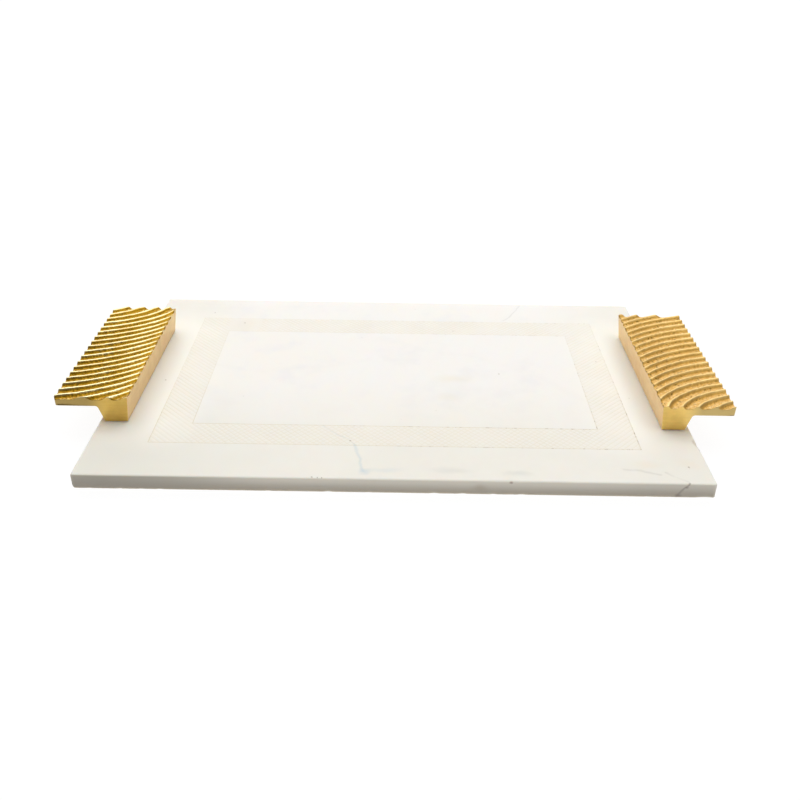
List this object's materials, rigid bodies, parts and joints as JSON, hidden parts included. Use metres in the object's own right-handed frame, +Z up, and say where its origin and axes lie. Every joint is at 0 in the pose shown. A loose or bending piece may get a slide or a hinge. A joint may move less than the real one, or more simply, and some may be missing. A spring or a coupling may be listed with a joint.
{
  "type": "vanity tray",
  "caption": "Flat rectangular marble tray with an engraved crosshatched band and ridged, overhanging cast metal handles at both ends.",
  "frame": {"origin": "centre of the footprint, on the surface the tray stands on", "axes": "+X along the tray from the left handle to the right handle, +Y from the front edge to the back edge, +Z up"},
  "size_m": [0.434, 0.254, 0.0321],
  "materials": {
    "marble": "honed and sealed white marble, soft satin sheen",
    "gold_metal": "cast, ridges polished, sides brushed, gold coloured",
    "steel": "zinc-plated steel",
    "bumper_rubber": "translucent matte rubber"
  },
  "bodies": {
    "root": {"marble_slab": "marble", "handle_left": "gold_metal", "handle_right": "gold_metal", "screw_left_front": "steel", "screw_left_back": "steel", "screw_right_front": "steel", "screw_right_back": "steel", "washer_left_front": "steel", "washer_left_back": "steel", "washer_right_front": "steel", "washer_right_back": "steel", "foot_left_front": "bumper_rubber", "foot_left_back": "bumper_rubber", "foot_right_front": "bumper_rubber", "foot_right_back": "bumper_rubber"}
  },
  "joints": []
}
